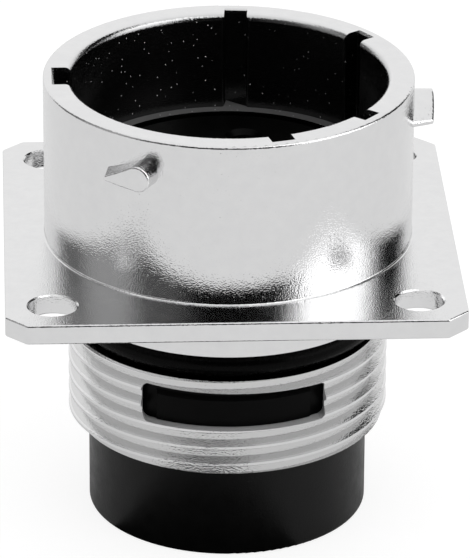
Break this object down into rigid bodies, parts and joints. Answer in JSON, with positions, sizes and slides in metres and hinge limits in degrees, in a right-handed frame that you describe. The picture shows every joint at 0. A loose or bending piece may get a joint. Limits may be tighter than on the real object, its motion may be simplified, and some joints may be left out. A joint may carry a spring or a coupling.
{
  "type": "bayonet circular connector receptacle",
  "caption": "Square-flange bayonet receptacle: keyed barrel with lugs, sealing groove, threaded rear collar with latch windows, crimp sockets in a black insert.",
  "frame": {"origin": "on the connector's axis, in the rear (mounting) face of the square flange", "axes": "+Z along the axis, out of the mating mouth; -X towards the main keyway; the flange's sides lie along X and Y"},
  "size_m": [0.031, 0.031, 0.032],
  "materials": {
    "nickel_plated_zinc": "satin nickel plating on a zinc die casting",
    "seal_rubber": "smooth black rubber",
    "insert_plastic": "moulded black thermoplastic",
    "grommet_rubber": "matte black silicone rubber",
    "contact_gold": "gold plating on turned brass",
    "hood_steel": "drawn stainless steel",
    "clip_steel": "stainless spring steel strip"
  },
  "bodies": {
    "root": {"shell": "nickel_plated_zinc", "neck_o_ring": "seal_rubber", "insert_seal": "seal_rubber", "front_insert": "insert_plastic", "rear_insert": "insert_plastic", "wire_grommet": "grommet_rubber", "contact_body_1": "contact_gold", "contact_hood_1": "hood_steel", "contact_clip_1": "clip_steel", "contact_body_2": "contact_gold", "contact_hood_2": "hood_steel", "contact_clip_2": "clip_steel", "contact_body_3": "contact_gold", "contact_hood_3": "hood_steel", "contact_clip_3": "clip_steel", "contact_body_4": "contact_gold", "contact_hood_4": "hood_steel", "contact_clip_4": "clip_steel", "contact_body_5": "contact_gold", "contact_hood_5": "hood_steel", "contact_clip_5": "clip_steel", "contact_body_6": "contact_gold", "contact_hood_6": "hood_steel", "contact_clip_6": "clip_steel", "contact_body_7": "contact_gold", "contact_hood_7": "hood_steel", "contact_clip_7": "clip_steel", "contact_body_8": "contact_gold", "contact_hood_8": "hood_steel", "contact_clip_8": "clip_steel"}
  },
  "joints": []
}
